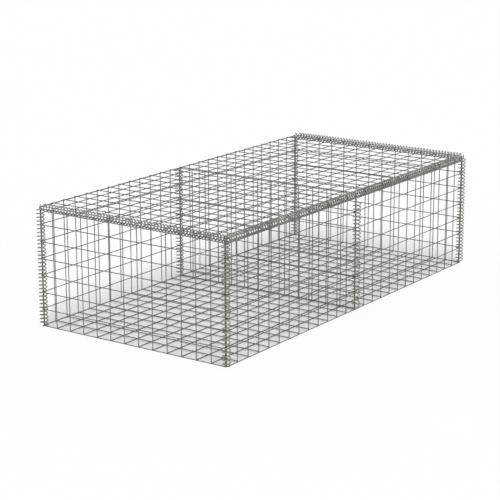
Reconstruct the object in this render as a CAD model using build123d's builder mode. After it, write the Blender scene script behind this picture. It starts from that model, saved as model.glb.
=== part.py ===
from build123d import *
import os
from math import cos, pi, sin, tan

# An empty gabion basket of welded mesh: two bays, lid on, bound with spiral wires.
# Millimetres. The origin is on the ground under the middle of the basket,
# +X runs along its length, -Y is its front and +Z is up.

# Mesh, counted in square cells
mesh_pitch = 76.2
long_cells = 26
short_cells = 13
high_cells = 7
mesh_wire = 4.0

# Spiral binders
coil_diameter = 33.0
coil_wire = 5.0
turns_per_cell = 4
seat_gap = 0.3

# Few-sided stand-ins for the round of a turn and of the binder wire
coil_sides = 6
coil_wire_sides = 4

# Spans between the centres of the edge wires, wires cut flush with those,
# and wires cut to fit between them
length = long_cells * mesh_pitch
width = short_cells * mesh_pitch
height = high_cells * mesh_pitch
long_cut = length + mesh_wire
short_cut = width + mesh_wire
long_inside = length - mesh_wire
short_inside = width - mesh_wire

# Levels of the wires. Rails are the level wires of the walls.
half_wire = mesh_wire / 2
bottom_rail = half_wire
top_rail = bottom_rail + height
middle_rail = (bottom_rail + top_rail) / 2
base_cross = bottom_rail + mesh_wire
lid_long = top_rail + half_wire
lid_cross = lid_long + mesh_wire

# Rails run outside the uprights. The edge uprights of the ends stand just inside
# those of the front and back.
front_upright = width / 2
front_rail = front_upright + mesh_wire
end_upright = length / 2
end_rail = end_upright + mesh_wire
end_edge = front_upright - mesh_wire

# The partition stands on the long wires of the base, beside the middle cross wire,
# and reaches those of the lid
partition_upright = -mesh_wire
partition_rail = partition_upright - mesh_wire
partition_top = top_rail - half_wire
partition_high = top_rail - mesh_wire

# A turn of a binder is a polygon as long as the round turn
coil_pitch = mesh_pitch / turns_per_cell
side_angle = 2 * pi / coil_sides
coil_corner = coil_diameter / 2 * (side_angle / 2) / sin(side_angle / 2)
coil_flat = coil_corner * cos(side_angle / 2)
coil_slope = coil_pitch / coil_sides / (2 * coil_flat * tan(side_angle / 2))

# Height of a binder's wire over the mesh wire that carries it, centre to centre
seat_rise = (mesh_wire + coil_wire) / 2 + coil_slope * half_wire + seat_gap

high_turns = high_cells * turns_per_cell
short_turns = short_cells * turns_per_cell
long_turns = long_cells * turns_per_cell


def coil_points(first_side, last_side, start):
    # Corners of a binder's centre line about +Z, right-handed, "start" high on its +X side
    points = []
    for side in range(first_side, last_side + 1):
        turned = (side + 1 / 2) / coil_sides
        angle = 2 * pi * turned
        points.append((coil_corner * cos(angle), coil_corner * sin(angle), start + coil_pitch * turned))
    return points


# Base: long wires on the ground and cross wires on top of them, all ending at the uprights of the walls
with BuildPart() as base_panel:
    with BuildSketch(Plane.YZ):
        with Locations((0, bottom_rail)):
            with GridLocations(mesh_pitch, mesh_pitch, short_cells - 1, 1):
                Rectangle(mesh_wire, mesh_wire)
    extrude(amount=long_inside / 2, both=True)
    with BuildSketch(Plane.XZ):
        with Locations((0, base_cross)):
            with GridLocations(mesh_pitch, mesh_pitch, long_cells - 1, 1):
                Rectangle(mesh_wire, mesh_wire)
    extrude(amount=short_inside / 2, both=True)

# Lid: long wires across the tops of the uprights, cross wires on top of them
with BuildPart() as lid_panel:
    with BuildSketch(Plane.YZ):
        with Locations((0, lid_long)):
            with GridLocations(mesh_pitch, mesh_pitch, short_cells + 1, 1):
                Rectangle(mesh_wire, mesh_wire)
    extrude(amount=long_cut / 2, both=True)
    with BuildSketch(Plane.XZ):
        with Locations((0, lid_cross)):
            with GridLocations(mesh_pitch, mesh_pitch, long_cells + 1, 1):
                Rectangle(mesh_wire, mesh_wire)
    extrude(amount=short_cut / 2, both=True)

# Front: uprights from the ground to the lid, rails outside them
with BuildPart() as front_panel:
    with BuildSketch(Plane.XY):
        with Locations((0, -front_upright)):
            with GridLocations(mesh_pitch, mesh_pitch, long_cells + 1, 1):
                Rectangle(mesh_wire, mesh_wire)
    extrude(amount=top_rail)
    with BuildSketch(Plane.YZ):
        with Locations((-front_rail, middle_rail)):
            with GridLocations(mesh_pitch, mesh_pitch, 1, high_cells + 1):
                Rectangle(mesh_wire, mesh_wire)
    extrude(amount=long_cut / 2, both=True)

with BuildPart() as back_panel:
    mirror(front_panel.part, about=Plane.XZ)

# Ends: the same mesh across the width
with BuildPart() as left_end_panel:
    with BuildSketch(Plane.XY):
        with Locations((-end_upright, 0)):
            with GridLocations(mesh_pitch, mesh_pitch, 1, short_cells - 1):
                Rectangle(mesh_wire, mesh_wire)
        with Locations((-end_upright, -end_edge), (-end_upright, end_edge)):
            Rectangle(mesh_wire, mesh_wire)
    extrude(amount=top_rail)
    with BuildSketch(Plane.XZ):
        with Locations((-end_rail, middle_rail)):
            with GridLocations(mesh_pitch, mesh_pitch, 1, high_cells + 1):
                Rectangle(mesh_wire, mesh_wire)
    extrude(amount=short_cut / 2, both=True)

with BuildPart() as right_end_panel:
    mirror(left_end_panel.part, about=Plane.YZ)

# Partition between the bays. Its edge rails lie on the base's long wires and under the lid's,
# and the rails between them are level with those of the walls.
with BuildPart() as partition_panel:
    with BuildSketch(Plane.XY.offset(mesh_wire)):
        with Locations((partition_upright, 0)):
            with GridLocations(mesh_pitch, mesh_pitch, 1, short_cells + 1):
                Rectangle(mesh_wire, mesh_wire)
    extrude(amount=partition_high)
    with BuildSketch(Plane.XZ):
        with Locations((partition_rail, middle_rail)):
            with GridLocations(mesh_pitch, mesh_pitch, 1, high_cells - 1):
                Rectangle(mesh_wire, mesh_wire)
        with Locations((partition_rail, base_cross), (partition_rail, partition_top)):
            Rectangle(mesh_wire, mesh_wire)
    extrude(amount=short_cut / 2, both=True)

# Corner binders about their own axis, with +X along the wall that carries them: every cell they rest
# on a rail. The back ones reach the lid, and the front ones end under the lid binders.
corner_start = bottom_rail + seat_rise + coil_slope * mesh_wire
with BuildPart() as back_corner_coil:
    with BuildLine() as back_corner_path:
        Polyline(*coil_points(-2, high_turns * coil_sides - 1, corner_start))
    with BuildSketch(Plane(back_corner_path.line @ 0, z_dir=back_corner_path.line % 0)):
        RegularPolygon(coil_wire / 2, coil_wire_sides)
    sweep(transition=Transition.RIGHT)

with BuildPart() as front_corner_coil:
    with BuildLine() as front_corner_path:
        Polyline(*coil_points(-2, (high_turns - 2) * coil_sides + 2, corner_start))
    with BuildSketch(Plane(front_corner_path.line @ 0, z_dir=front_corner_path.line % 0)):
        RegularPolygon(coil_wire / 2, coil_wire_sides)
    sweep(transition=Transition.RIGHT)

with BuildPart() as front_left_corner_binder:
    with Locations(Plane((-end_upright, -front_upright, 0), x_dir=(1, 0, 0))):
        add(front_corner_coil.part)

with BuildPart() as front_right_corner_binder:
    with Locations(Plane((end_upright, -front_upright, 0), x_dir=(0, 1, 0))):
        add(front_corner_coil.part)

with BuildPart() as back_right_corner_binder:
    with Locations(Plane((end_upright, front_upright, 0), x_dir=(-1, 0, 0))):
        add(back_corner_coil.part)

with BuildPart() as back_left_corner_binder:
    with Locations(Plane((-end_upright, front_upright, 0), x_dir=(0, -1, 0))):
        add(back_corner_coil.part)

# Partition binders, just outside the plane of the long walls' rails, so that a turn passes over a rail
# on one side and the turn below it passes under on the other. The front one ends under the lid binders.
partition_bind = partition_upright / 2
partition_axis = front_rail + half_wire
partition_start = bottom_rail + seat_rise - coil_slope * half_wire
with BuildPart() as front_partition_binder:
    with BuildLine(Plane((partition_bind, -partition_axis, 0), x_dir=(1, 0, 0))) as front_partition_path:
        Polyline(*coil_points(1, (high_turns - 2) * coil_sides + 1, partition_start))
    with BuildSketch(Plane(front_partition_path.line @ 0, z_dir=front_partition_path.line % 0)):
        RegularPolygon(coil_wire / 2, coil_wire_sides)
    sweep(transition=Transition.RIGHT)

with BuildPart() as back_partition_binder:
    with BuildLine(Plane((partition_bind, partition_axis, 0), x_dir=(-1, 0, 0))) as back_partition_path:
        Polyline(*coil_points(1, high_turns * coil_sides - 1, partition_start))
    with BuildSketch(Plane(back_partition_path.line @ 0, z_dir=back_partition_path.line % 0)):
        RegularPolygon(coil_wire / 2, coil_wire_sides)
    sweep(transition=Transition.RIGHT)

# Lid binders go round an edge wire of the lid and a top rail, and each turn over an upright bears on it.
# Their axes start at an edge wire, with +X towards the lid and +Y up.
lid_start = seat_rise + coil_pitch / 4 - coil_pitch / coil_sides * half_wire / coil_flat
lid_end_level = (top_rail + lid_cross) / 2
lid_front_level = (top_rail + lid_long) / 2
lid_end_axis = (end_upright + end_rail) / 2
lid_front_axis = (front_upright + front_rail) / 2

# Those at the ends run from one turn inside the back corner to the front edge's own binder
left_lid_edge = Plane((-lid_end_axis, width / 2, lid_end_level), x_dir=(1, 0, 0), z_dir=(0, -1, 0))
with BuildPart() as left_lid_binder:
    with BuildLine(left_lid_edge) as left_lid_path:
        Polyline(*coil_points(coil_sides - 1, (short_turns - 2) * coil_sides + 2, lid_start))
    with BuildSketch(Plane(left_lid_path.line @ 0, z_dir=left_lid_path.line % 0)):
        RegularPolygon(coil_wire / 2, coil_wire_sides)
    sweep(transition=Transition.RIGHT)

right_lid_edge = Plane((lid_end_axis, -width / 2, lid_end_level), x_dir=(-1, 0, 0), z_dir=(0, 1, 0))
with BuildPart() as right_lid_binder:
    with BuildLine(right_lid_edge) as right_lid_path:
        Polyline(*coil_points(coil_sides // 2, (short_turns - 2) * coil_sides, lid_start))
    with BuildSketch(Plane(right_lid_path.line @ 0, z_dir=right_lid_path.line % 0)):
        RegularPolygon(coil_wire / 2, coil_wire_sides)
    sweep(transition=Transition.RIGHT)

# The front edge takes two lengths from corner to corner, one to a bay, that meet over the partition
bay_sides = (long_turns // 2 - 1) * coil_sides
front_lid_edge = Plane((-length / 2, -lid_front_axis, lid_front_level), x_dir=(0, 1, 0), z_dir=(1, 0, 0))
with BuildPart() as front_left_lid_binder:
    with BuildLine(front_lid_edge) as front_left_lid_path:
        Polyline(*coil_points(-1, bay_sides - 2, lid_start))
    with BuildSketch(Plane(front_left_lid_path.line @ 0, z_dir=front_left_lid_path.line % 0)):
        RegularPolygon(coil_wire / 2, coil_wire_sides)
    sweep(transition=Transition.RIGHT)

with BuildPart() as front_right_lid_binder:
    with BuildLine(front_lid_edge) as front_right_lid_path:
        Polyline(*coil_points(bay_sides, (long_turns - 1) * coil_sides, lid_start))
    with BuildSketch(Plane(front_right_lid_path.line @ 0, z_dir=front_right_lid_path.line % 0)):
        RegularPolygon(coil_wire / 2, coil_wire_sides)
    sweep(transition=Transition.RIGHT)

base_panel.part.label = "base_panel"
lid_panel.part.label = "lid_panel"
front_panel.part.label = "front_panel"
back_panel.part.label = "back_panel"
left_end_panel.part.label = "left_end_panel"
right_end_panel.part.label = "right_end_panel"
partition_panel.part.label = "partition_panel"
front_left_corner_binder.part.label = "front_left_corner_binder"
front_right_corner_binder.part.label = "front_right_corner_binder"
back_right_corner_binder.part.label = "back_right_corner_binder"
back_left_corner_binder.part.label = "back_left_corner_binder"
front_partition_binder.part.label = "front_partition_binder"
back_partition_binder.part.label = "back_partition_binder"
left_lid_binder.part.label = "left_lid_binder"
right_lid_binder.part.label = "right_lid_binder"
front_left_lid_binder.part.label = "front_left_lid_binder"
front_right_lid_binder.part.label = "front_right_lid_binder"

os.makedirs("parts", exist_ok=True)
export_step(base_panel.part, "parts/base_panel.step")
export_step(lid_panel.part, "parts/lid_panel.step")
export_step(front_panel.part, "parts/front_panel.step")
export_step(back_panel.part, "parts/back_panel.step")
export_step(left_end_panel.part, "parts/left_end_panel.step")
export_step(right_end_panel.part, "parts/right_end_panel.step")
export_step(partition_panel.part, "parts/partition_panel.step")
export_step(front_left_corner_binder.part, "parts/front_left_corner_binder.step")
export_step(front_right_corner_binder.part, "parts/front_right_corner_binder.step")
export_step(back_right_corner_binder.part, "parts/back_right_corner_binder.step")
export_step(back_left_corner_binder.part, "parts/back_left_corner_binder.step")
export_step(front_partition_binder.part, "parts/front_partition_binder.step")
export_step(back_partition_binder.part, "parts/back_partition_binder.step")
export_step(left_lid_binder.part, "parts/left_lid_binder.step")
export_step(right_lid_binder.part, "parts/right_lid_binder.step")
export_step(front_left_lid_binder.part, "parts/front_left_lid_binder.step")
export_step(front_right_lid_binder.part, "parts/front_right_lid_binder.step")
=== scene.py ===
import math
import random

import bpy
from mathutils import Matrix, Vector


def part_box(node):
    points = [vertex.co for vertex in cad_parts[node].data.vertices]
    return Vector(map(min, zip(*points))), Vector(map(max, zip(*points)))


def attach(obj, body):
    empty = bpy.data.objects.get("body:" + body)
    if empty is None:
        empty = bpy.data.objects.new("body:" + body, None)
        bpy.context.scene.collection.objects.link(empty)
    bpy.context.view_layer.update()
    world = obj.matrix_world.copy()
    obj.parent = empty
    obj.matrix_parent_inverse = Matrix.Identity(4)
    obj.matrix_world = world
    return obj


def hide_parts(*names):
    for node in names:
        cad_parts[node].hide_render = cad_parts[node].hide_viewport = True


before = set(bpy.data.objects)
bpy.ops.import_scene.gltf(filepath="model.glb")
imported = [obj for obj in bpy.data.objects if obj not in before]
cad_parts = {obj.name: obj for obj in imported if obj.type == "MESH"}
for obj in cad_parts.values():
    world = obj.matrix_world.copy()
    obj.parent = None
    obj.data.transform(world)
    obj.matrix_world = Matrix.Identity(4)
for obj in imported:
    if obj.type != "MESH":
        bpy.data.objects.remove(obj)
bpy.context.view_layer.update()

random.seed(11)


def ringOf(verts, centre, side, up, radius, sides):
    start = len(verts)
    for k in range(sides):
        turn = 2 * math.pi * k / sides
        verts.append(centre + radius * (math.cos(turn) * side + math.sin(turn) * up))
    return list(range(start, start + sides))


def addTube(verts, faces, path, radius, sides, nip):
    # a round wire along a path, with its cut ends rounded by nip
    tangents = []
    for i in range(len(path)):
        tangents.append((path[min(i + 1, len(path) - 1)] - path[max(i - 1, 0)]).normalized())
    side = tangents[0].orthogonal().normalized()
    rings = []
    for i, centre in enumerate(path):
        tangent = tangents[i]
        side = (side - tangent * side.dot(tangent)).normalized()
        up = tangent.cross(side)
        if i == 0:
            rings.append(ringOf(verts, centre, side, up, radius * (1 - nip), sides))
            rings.append(ringOf(verts, centre + tangent * radius * nip, side, up, radius, sides))
        elif i == len(path) - 1:
            rings.append(ringOf(verts, centre - tangent * radius * nip, side, up, radius, sides))
            rings.append(ringOf(verts, centre, side, up, radius * (1 - nip), sides))
        else:
            rings.append(ringOf(verts, centre, side, up, radius, sides))
    for near, far in zip(rings, rings[1:]):
        for k in range(sides):
            after = (k + 1) % sides
            faces.append((near[k], near[after], far[after], far[k]))
    faces.append(tuple(reversed(rings[0])))
    faces.append(tuple(rings[-1]))


def makePiece(node, ending, verts, faces, material):
    mesh = bpy.data.meshes.new(node + ending + "Mesh")
    mesh.from_pydata([tuple(v) for v in verts], [], faces)
    mesh.update()
    mesh.shade_smooth()
    mesh.materials.append(material)
    piece = bpy.data.objects.new(node + ending, mesh)
    bpy.context.scene.collection.objects.link(piece)
    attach(piece, "root")
    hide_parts(node)
    return piece


def mathNode(tree, operation, first, second):
    node = tree.nodes.new("ShaderNodeMath")
    node.operation = operation
    for socket, value in zip(node.inputs, (first, second)):
        if isinstance(value, (int, float)):
            socket.default_value = value
        else:
            tree.links.new(value, socket)
    return node.outputs[0]


def rangeNode(tree, value, fromEnds, toEnds, blend="LINEAR"):
    node = tree.nodes.new("ShaderNodeMapRange")
    node.interpolation_type = blend
    for name, end in zip(("From Min", "From Max", "To Min", "To Max"), (*fromEnds, *toEnds)):
        node.inputs[name].default_value = end
    tree.links.new(value, node.inputs["Value"])
    return node.outputs["Result"]


zincLook = {
    "cloudDetail": 4,
    "dullUpTo": 0.32,       # cloud values between which the zinc goes from dull to bright
    "brightFrom": 0.70,
    "grainDetail": 3,
    "grainDepth": 0.0003,
}


def zincFinish(name, look):
    material = bpy.data.materials.new(name)
    material.use_nodes = True
    tree = material.node_tree
    nodes, links = tree.nodes, tree.links
    shader = nodes["Principled BSDF"]
    shader.inputs["Metallic"].default_value = look["metallic"]
    place = nodes.new("ShaderNodeTexCoord")

    cloud = nodes.new("ShaderNodeTexNoise")  # dull and bright stretches of the zinc
    cloud.inputs["Scale"].default_value = look["cloudScale"]
    cloud.inputs["Detail"].default_value = zincLook["cloudDetail"]
    links.new(place.outputs["Object"], cloud.inputs["Vector"])
    tone = nodes.new("ShaderNodeValToRGB")
    dull, bright = tone.color_ramp.elements
    dull.position = zincLook["dullUpTo"]
    dull.color = (*look["dull"], 1)
    bright.position = zincLook["brightFrom"]
    bright.color = (*look["bright"], 1)
    links.new(cloud.outputs["Fac"], tone.inputs["Fac"])

    spangle = nodes.new("ShaderNodeTexVoronoi")  # crystal patches
    spangle.inputs["Scale"].default_value = look["spangleScale"]
    links.new(place.outputs["Object"], spangle.inputs["Vector"])
    patch = nodes.new("ShaderNodeSeparateColor")
    links.new(spangle.outputs["Color"], patch.inputs["Color"])
    levels = (1 - look["spangleDepth"], 1 + look["spangleDepth"])
    mixed = nodes.new("ShaderNodeMix")
    mixed.data_type = "RGBA"
    mixed.blend_type = "MULTIPLY"
    mixed.inputs["Factor"].default_value = 1
    links.new(tone.outputs["Color"], mixed.inputs["A"])
    links.new(rangeNode(tree, patch.outputs["Red"], (0, 1), levels), mixed.inputs["B"])
    links.new(mixed.outputs["Result"], shader.inputs["Base Color"])
    rubbed = (look["smoothest"], look["roughest"])
    links.new(rangeNode(tree, patch.outputs["Green"], (0, 1), rubbed), shader.inputs["Roughness"])

    grain = nodes.new("ShaderNodeTexNoise")  # dross and drawn lines under the zinc
    grain.inputs["Scale"].default_value = look["grainScale"]
    grain.inputs["Detail"].default_value = zincLook["grainDetail"]
    links.new(place.outputs["Object"], grain.inputs["Vector"])
    bump = nodes.new("ShaderNodeBump")
    bump.inputs["Strength"].default_value = look["grainStrength"]
    bump.inputs["Distance"].default_value = zincLook["grainDepth"]
    links.new(grain.outputs["Fac"], bump.inputs["Height"])
    links.new(bump.outputs["Normal"], shader.inputs["Normal"])
    return material


meshLook = {
    "dull": (0.125, 0.125, 0.120),
    "bright": (0.215, 0.214, 0.206),
    "metallic": 0.6,
    "cloudScale": 9.0,
    "spangleScale": 260.0,
    "spangleDepth": 0.16,
    "smoothest": 0.42,
    "roughest": 0.62,
    "grainScale": 900.0,
    "grainStrength": 0.35,
}
meshZinc = zincFinish("meshZinc", meshLook)

# binder zinc: a warmer tone than the mesh zinc, and painted lighter to offset the shading between the
# close-wound turns
binderLookPaintedLighter = {
    "dull": (0.222, 0.220, 0.198),
    "bright": (0.388, 0.383, 0.346),
    "metallic": 0.6,
    "cloudScale": 7.0,
    "spangleScale": 320.0,
    "spangleDepth": 0.14,
    "smoothest": 0.38,
    "roughest": 0.58,
    "grainScale": 1100.0,
    "grainStrength": 0.30,
}
binderZincPaintedLighter = zincFinish("binderZincPaintedLighter", binderLookPaintedLighter)
print("finishes: zinc on the mesh and on the binders")


panelLook = {
    "cells": (26, 13, 7),   # squares along x, y and z
    "sides": 10,            # facets round a wire
    "steps": 3,             # lengths of wire per square
    "wander": 0.0003,       # how far a wire strays from straight, in its own panel
    "waves": 3,             # waves in a stray wire
    "waveCounts": (1.5, 5.5),
    "bow": 0.0012,          # how far a panel bows inwards
    "humps": 3,
    "humpHeights": (0.3, 1.0),
    "pressed": 0.16,        # how deep the welds press the wires together, in wire diameters
    "beadSpread": 0.66,     # weld metal, in wire diameters
    "beadRise": 0.40,
    "beadSizes": (0.9, 1.08),
    "beadLevels": (-0.6, 0.0, 0.6),
    "beadSides": 8,
    "nip": 0.30,            # rounding of a cut end, in wire radii
    "trim": 0.0004,         # uneven cutting of the ends
    "bite": 0.35,           # how far the base wires reach into the walls, in wire diameters
    "frontHang": 0.009,     # how far below the ends of its uprights the front's top wire lies
    "endHang": 0.004,       # the same at the two ends
    "partLift": 0.0046,     # how far the partition's top wire is drawn up to the lid
}


def addBead(verts, faces, centre, ways, size):
    # a squashed ball of metal, pressed out where two wires are welded
    across, along, out = ways
    spread, rise = panelLook["beadSpread"] * size, panelLook["beadRise"] * size
    sides = panelLook["beadSides"]
    low = len(verts)
    verts.append(centre - out * rise)
    belts = []
    for level in panelLook["beadLevels"]:
        reach = spread * math.sqrt(1 - level * level)
        belts.append(ringOf(verts, centre + out * rise * level, across, along, reach, sides))
    high = len(verts)
    verts.append(centre + out * rise)
    for k in range(sides):
        after = (k + 1) % sides
        faces.append((low, belts[0][after], belts[0][k]))
        for near, far in zip(belts, belts[1:]):
            faces.append((near[k], near[after], far[after], far[k]))
        faces.append((high, belts[-1][k], belts[-1][after]))


def strayOf(amount):
    waves = []
    for n in range(panelLook["waves"]):
        height = random.uniform(-1, 1)
        count = random.uniform(*panelLook["waveCounts"])
        waves.append((height, count, random.uniform(0, 2 * math.pi)))

    def strayAt(share):
        sway = sum(height * math.sin(2 * math.pi * count * share + phase) for height, count, phase in waves)
        return amount * sway * math.sin(math.pi * share)

    return strayAt


def wirePlaces(low, high, count):
    return [low + (high - low) * i / (count - 1) for i in range(count)]


def meshPanel(node, thin, inward, outerSet, innerSet):
    # thin is the axis through the panel, and inward the sign of its inner side
    # a set of wires is (axis it runs along, places across it, ends)
    look = panelLook
    low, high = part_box(node)
    outer = low[thin] + meshWire / 2 if inward > 0 else high[thin] - meshWire / 2
    inner = outer + inward * meshWire * (1 - look["pressed"])
    along, across = outerSet[0], innerSet[0]
    humps = [random.uniform(*look["humpHeights"]) for n in range(look["humps"])]

    def shareOf(axis, value):
        return min(max((value - low[axis]) / (high[axis] - low[axis]), 0.0), 1.0)

    def bowAt(point):
        u, v = shareOf(along, point[along]), shareOf(across, point[across])
        wave = sum(h * math.sin(math.pi * (n + 1) * u) ** 2 for n, h in enumerate(humps)) / len(humps)
        return inward * look["bow"] * wave * math.sin(math.pi * v)

    verts, faces = [], []
    strays = {}
    for (run, places, ends), cross, layer in ((outerSet, across, outer), (innerSet, along, inner)):
        for number, place in enumerate(places):
            stray = strayOf(look["wander"])
            strays[run, number] = stray
            count = look["cells"][run] * look["steps"] + 1
            first = ends[0] + random.uniform(0, look["trim"])
            last = ends[1] - random.uniform(0, look["trim"])
            path = []
            for value in wirePlaces(first, last, count):
                point = [0.0, 0.0, 0.0]
                point[run] = value
                point[cross] = place + stray(shareOf(run, value))
                point[thin] = layer + bowAt(point)
                path.append(Vector(point))
            addTube(verts, faces, path, meshWire / 2, look["sides"], look["nip"])

    axes = [Vector((1, 0, 0)), Vector((0, 1, 0)), Vector((0, 0, 1))]
    ways = (axes[(thin + 1) % 3], axes[(thin + 2) % 3], axes[thin])
    for a, placeA in enumerate(outerSet[1]):
        for b, placeB in enumerate(innerSet[1]):
            point = [0.0, 0.0, 0.0]
            point[across] = placeA + strays[along, a](shareOf(along, placeB))
            point[along] = placeB + strays[across, b](shareOf(across, placeA))
            point[thin] = (outer + inner) / 2 + bowAt(point)
            size = random.uniform(*look["beadSizes"]) * meshWire
            addBead(verts, faces, Vector(point), ways, size)

    for vert in verts:
        vert.z = max(vert.z, 0.0)  # no weld stands below the floor
    piece = makePiece(node, "Wires", verts, faces, meshZinc)
    print("panel:", piece.name, len(faces), "faces")


lidLow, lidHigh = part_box("lid_panel")
frontLow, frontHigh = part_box("front_panel")
leftLow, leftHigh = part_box("left_end_panel")
baseLow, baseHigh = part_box("base_panel")
partLow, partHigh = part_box("partition_panel")
meshWire = (lidHigh.z - lidLow.z) / 2
halfWire = meshWire / 2
xPlaces = wirePlaces(lidLow.x + halfWire, lidHigh.x - halfWire, panelLook["cells"][0] + 1)
yPlaces = wirePlaces(lidLow.y + halfWire, lidHigh.y - halfWire, panelLook["cells"][1] + 1)
zPlaces = wirePlaces(frontLow.z + halfWire, frontHigh.z - halfWire, panelLook["cells"][2] + 1)
endUprights = [yPlaces[0] + meshWire] + yPlaces[1:-1] + [yPlaces[-1] - meshWire]
partTop = partHigh.z - halfWire + panelLook["partLift"]
frontRails = zPlaces[:-1] + [zPlaces[-1] - panelLook["frontHang"]]
endRails = zPlaces[:-1] + [zPlaces[-1] - panelLook["endHang"]]
partRails = [partLow.z + halfWire] + zPlaces[1:-1] + [partTop]
upright, partUpright = (frontLow.z, zPlaces[-1]), (partLow.z, partTop)
bite = panelLook["bite"] * meshWire
baseLong, baseShort = (baseLow.x - bite, baseHigh.x + bite), (baseLow.y - bite, baseHigh.y + bite)
lidLong, lidShort = (lidLow.x, lidHigh.x), (lidLow.y, lidHigh.y)
wallLong, endShort = (frontLow.x, frontHigh.x), (leftLow.y, leftHigh.y)
partShort = (partLow.y, partHigh.y)

meshPanel("base_panel", 2, 1, (0, yPlaces[1:-1], baseLong), (1, xPlaces[1:-1], baseShort))
meshPanel("lid_panel", 2, -1, (1, xPlaces, lidShort), (0, yPlaces, lidLong))
meshPanel("front_panel", 1, 1, (0, frontRails, wallLong), (2, xPlaces, upright))
meshPanel("back_panel", 1, -1, (0, zPlaces, wallLong), (2, xPlaces, upright))
meshPanel("left_end_panel", 0, 1, (1, endRails, endShort), (2, endUprights, upright))
meshPanel("right_end_panel", 0, -1, (1, endRails, endShort), (2, endUprights, upright))
meshPanel("partition_panel", 0, 1, (1, partRails, partShort), (2, yPlaces, partUpright))


coilLook = {
    "diameter": 0.033,      # middle of the wire, across a turn
    "wire": 0.005,
    "turnsPerCell": 4.5,    # closer than in the solid, as in the photo
    "solidTurns": 4,        # turns of the solid per square, which set where a spiral ends
    "solidSides": 6,        # sides of a turn of the solid
    "phase": 0.06,          # share of a turn by which a spiral is wound on
    "sides": 8,
    "steps": 20,            # lengths of wire per turn
    "hook": 0.0035,         # how far a cut end is bent in
    "hookTurns": 0.3,
    "uneven": 0.00035,      # turns that don't lie quite true
    "unevenWaves": (0.13, 0.041, 0.07),
    "tailSteps": 6,
    "tailLean": 0.8,        # how far a standing end leans in, as a share of the radius
    "pulled": 0.92,         # how narrow the lid draws the turns at the ends
    "nip": 0.30,
    "gap": 0.0003,          # clearance where the solid sits on the mesh
}
binderEnds = {
    # first and last side, counted along the turns of the solid
    "front_left_corner_binder": (-2, 161),
    "front_right_corner_binder": (-2, 165),
    "back_right_corner_binder": (-2, 167),
    "back_left_corner_binder": (-2, 164),
    "front_partition_binder": (1, 157),
    "back_partition_binder": (1, 167),
    "left_lid_binder": (5, 310),
    "right_lid_binder": (-4, 302),
    "front_left_lid_binder": (-1, 304),
    "front_right_lid_binder": (306, 612),
}
binderTails = {
    # cut ends that stand up above the lid and lean in
    "back_right_corner_binder": 0.012,
    "back_left_corner_binder": 0.018,
}
cell = xPlaces[1] - xPlaces[0]
coilPitch = cell / coilLook["solidTurns"]
coilRadius = coilLook["diameter"] / 2
coilSlope = coilPitch / (math.pi * coilLook["diameter"])
seatRise = (meshWire + coilLook["wire"]) / 2 + coilSlope * meshWire / 2 + coilLook["gap"]


def spiralBinder(node, forward, sideways, start, oval=1.0):
    # forward is the way along the spiral's axis, and sideways the side where a turn begins
    # start is (place on the axis, way on from it to the first turn)
    look = coilLook
    low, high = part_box(node)
    along, across = Vector(forward), Vector(sideways)
    third = along.cross(across)
    axis = [abs(part) for part in forward].index(1)
    origin = (low + high) / 2
    origin[axis] = start[0]
    drawn = look["turnsPerCell"] / look["solidTurns"]
    first, last = ((side + 0.5) / look["solidSides"] for side in binderEnds[node])  # cut at mid-side
    count = int(round((last - first) * drawn * look["steps"])) + 1
    phases = [random.uniform(0, 2 * math.pi) for wave in look["unevenWaves"]]
    path = []
    for value in wirePlaces(first, last, count):
        angle = 2 * math.pi * (value * drawn + look["phase"])
        toEnd = min(value - first, last - value)
        waveA, waveB, waveC = (math.sin(angle * w + p) for w, p in zip(look["unevenWaves"], phases))
        reach = coilRadius - look["hook"] * max(0.0, 1 - toEnd / look["hookTurns"]) ** 2
        reach += look["uneven"] * waveA * waveB
        height = start[1] + coilPitch * value + look["uneven"] * waveC
        turned = oval * math.cos(angle) * across + math.sin(angle) * third
        path.append(origin + along * height + reach * turned)
    if node in binderTails:
        cut = path[-1]
        inwards = origin - cut
        inwards[axis] = 0.0
        for n in range(1, look["tailSteps"] + 1):
            bend = math.pi / 2 * n / look["tailSteps"]
            leant = inwards * look["tailLean"] * (1 - math.cos(bend))
            path.append(cut + along * binderTails[node] * math.sin(bend) + leant)
    verts, faces = [], []
    addTube(verts, faces, path, look["wire"] / 2, look["sides"], look["nip"])
    piece = makePiece(node, "Spiral", verts, faces, binderZincPaintedLighter)
    print("binder:", piece.name, round((last - first) * drawn, 1), "turns")


upwards = (0, 0, 1)
bottomRail = zPlaces[0]
cornerStart = (0.0, bottomRail + seatRise + coilSlope * meshWire)
spiralBinder("front_left_corner_binder", upwards, (1, 0, 0), cornerStart)
spiralBinder("front_right_corner_binder", upwards, (0, 1, 0), cornerStart)
spiralBinder("back_right_corner_binder", upwards, (-1, 0, 0), cornerStart)
spiralBinder("back_left_corner_binder", upwards, (0, -1, 0), cornerStart)

partStart = (0.0, bottomRail + seatRise - coilSlope * meshWire / 2)
spiralBinder("front_partition_binder", upwards, (1, 0, 0), partStart)
spiralBinder("back_partition_binder", upwards, (-1, 0, 0), partStart)

lidStart = seatRise + coilPitch / 4 - coilSlope * meshWire / 2
leftStart, rightStart = (yPlaces[-1], lidStart), (yPlaces[0], lidStart)
frontStart = (xPlaces[0], lidStart)
pulled = coilLook["pulled"]
spiralBinder("left_lid_binder", (0, -1, 0), (1, 0, 0), leftStart, oval=pulled)
spiralBinder("right_lid_binder", (0, 1, 0), (-1, 0, 0), rightStart, oval=pulled)
spiralBinder("front_left_lid_binder", (1, 0, 0), (0, 1, 0), frontStart)
spiralBinder("front_right_lid_binder", (1, 0, 0), (0, 1, 0), frontStart)


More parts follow.
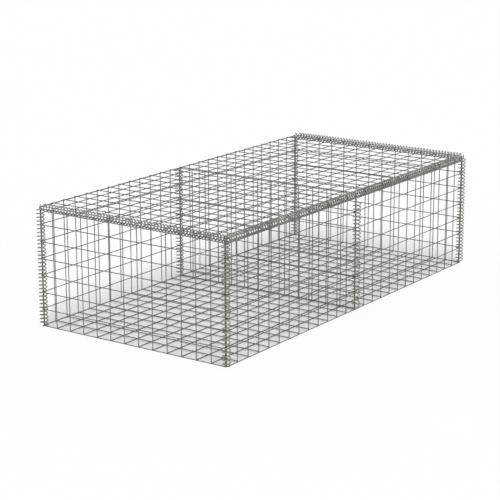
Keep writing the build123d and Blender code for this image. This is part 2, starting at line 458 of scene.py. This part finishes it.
stageLook = {
    "floor": (0.95, 0.95, 0.95),
    "paintedShadow": (0.88, 0.88, 0.88),    # painted shadow: darker floor colour under the basket
    "paintedShadowFall": (0.816, 0.577),    # the way the painted shadow runs out on the floor behind it
    "paintedShadowReach": 0.8,
    "paintedShadowEdge": 0.004,
    "glow": 0.88,                   # how far the open floor is lifted to the white of the room
    "size": 40.0,
    "sky": 0.86,
    "key": 0.55,
    "keySpread": 50.0,
    "keyTilt": (28.0, -18.0, 0.0),
}


def seenRays(tree):
    # 1 for what the camera sees, straight or in a reflection
    rays = tree.nodes.new("ShaderNodeLightPath")
    seen = rays.outputs["Is Camera Ray"]
    for other in ("Is Glossy Ray", "Is Transmission Ray"):
        seen = mathNode(tree, "MAXIMUM", seen, rays.outputs[other])
    return seen


# the floor, with the basket's shadow painted into its colour under and behind the basket
def floorPaintedShadowFinish(name, look):
    material = bpy.data.materials.new(name)
    material.use_nodes = True
    tree = material.node_tree
    nodes, links = tree.nodes, tree.links
    shader = nodes["Principled BSDF"]
    shader.inputs["Roughness"].default_value = 1.0
    shader.inputs["Specular IOR Level"].default_value = 0.0
    spot = nodes.new("ShaderNodeTexCoord")
    parts = nodes.new("ShaderNodeSeparateXYZ")
    links.new(spot.outputs["Object"], parts.inputs["Vector"])

    # how far behind the basket a spot lies, along the way the painted shadow runs out
    spots, reaches = (parts.outputs["X"], parts.outputs["Y"]), (xPlaces[-1], yPlaces[-1])
    falls = list(zip(spots, reaches, look["paintedShadowFall"]))
    behind = 0.0
    for place, reach, fall in falls:
        past = mathNode(tree, "DIVIDE", mathNode(tree, "SUBTRACT", place, reach), fall)
        behind = mathNode(tree, "MAXIMUM", past, behind)
    paintedShadowMask = rangeNode(tree, behind, (0, look["paintedShadowReach"]), (1, 0), "SMOOTHSTEP")
    for place, reach, fall in falls:
        back = mathNode(tree, "SUBTRACT", place, mathNode(tree, "MULTIPLY", behind, fall))
        edge = rangeNode(tree, back, (-reach - look["paintedShadowEdge"], -reach), (0, 1))
        paintedShadowMask = mathNode(tree, "MULTIPLY", paintedShadowMask, edge)
    # painted shadow: the floor's colour darkens under the basket and fades out behind it
    paintedShadowTint = nodes.new("ShaderNodeMix")
    paintedShadowTint.data_type = "RGBA"
    paintedShadowTint.inputs["A"].default_value = (*look["floor"], 1)
    paintedShadowTint.inputs["B"].default_value = (*look["paintedShadow"], 1)
    links.new(paintedShadowMask, paintedShadowTint.inputs["Factor"])
    links.new(paintedShadowTint.outputs["Result"], shader.inputs["Base Color"])

    # the open floor is lifted to white, but not where the shadow is painted
    lift = rangeNode(tree, paintedShadowMask, (0, 1), (look["glow"], 0))
    white = nodes.new("ShaderNodeEmission")
    white.inputs["Strength"].default_value = 1.0
    blend = nodes.new("ShaderNodeMixShader")
    links.new(mathNode(tree, "MULTIPLY", lift, seenRays(tree)), blend.inputs["Fac"])
    links.new(shader.outputs["BSDF"], blend.inputs[1])
    links.new(white.outputs["Emission"], blend.inputs[2])
    links.new(blend.outputs["Shader"], nodes["Material Output"].inputs["Surface"])
    return material


half = stageLook["size"] / 2
floorCorners = [(-half, -half, 0), (half, -half, 0), (half, half, 0), (-half, half, 0)]
floorMesh = bpy.data.meshes.new("floorMesh")
floorMesh.from_pydata(floorCorners, [], [(0, 1, 2, 3)])
floorMesh.materials.append(floorPaintedShadowFinish("paper", stageLook))
floor = bpy.data.objects.new("floor", floorMesh)
bpy.context.scene.collection.objects.link(floor)

world = bpy.data.worlds.new("whiteRoom")
bpy.context.scene.world = world
world.use_nodes = True
room = world.node_tree
sky = room.nodes["Background"]
sky.inputs["Color"].default_value = (1, 1, 1, 1)
skyStrength = rangeNode(room, seenRays(room), (0, 1), (stageLook["sky"], 1))
room.links.new(skyStrength, sky.inputs["Strength"])

lamp = bpy.data.lights.new("softKey", "SUN")
lamp.energy = stageLook["key"]
lamp.angle = math.radians(stageLook["keySpread"])
key = bpy.data.objects.new("softKey", lamp)
key.rotation_euler = [math.radians(turn) for turn in stageLook["keyTilt"]]
bpy.context.scene.collection.objects.link(key)

viewLook = {
    "place": (-6.210678, -4.303993, 2.194036),
    "heading": -54.748,
    "tilt": 14.751,
    "roll": -0.148,
    "focalShare": 1671.691 / 500,   # focal length in picture widths
    "sensor": 36.0,
    "farthest": 200.0,
}
heading, tilt, roll = (math.radians(viewLook[name]) for name in ("heading", "tilt", "roll"))
flat = math.cos(tilt)
ahead = Vector((-math.sin(heading) * flat, math.cos(heading) * flat, -math.sin(tilt)))
right = Vector((math.cos(heading), math.sin(heading), 0))
upward = right.cross(ahead)
rolledRight = right * math.cos(roll) + upward * math.sin(roll)
rolledUpward = upward * math.cos(roll) - right * math.sin(roll)
cameraData = bpy.data.cameras.new("photoCamera")
cameraData.sensor_width = viewLook["sensor"]
cameraData.lens = viewLook["sensor"] * viewLook["focalShare"]
cameraData.clip_end = viewLook["farthest"]
camera = bpy.data.objects.new("photoCamera", cameraData)
facing = Matrix((rolledRight, rolledUpward, -ahead)).transposed().to_4x4()
camera.matrix_world = Matrix.Translation(Vector(viewLook["place"])) @ facing
bpy.context.scene.collection.objects.link(camera)
bpy.context.scene.camera = camera
bpy.context.scene.view_settings.view_transform = "Standard"
print("stage, light and camera are set")
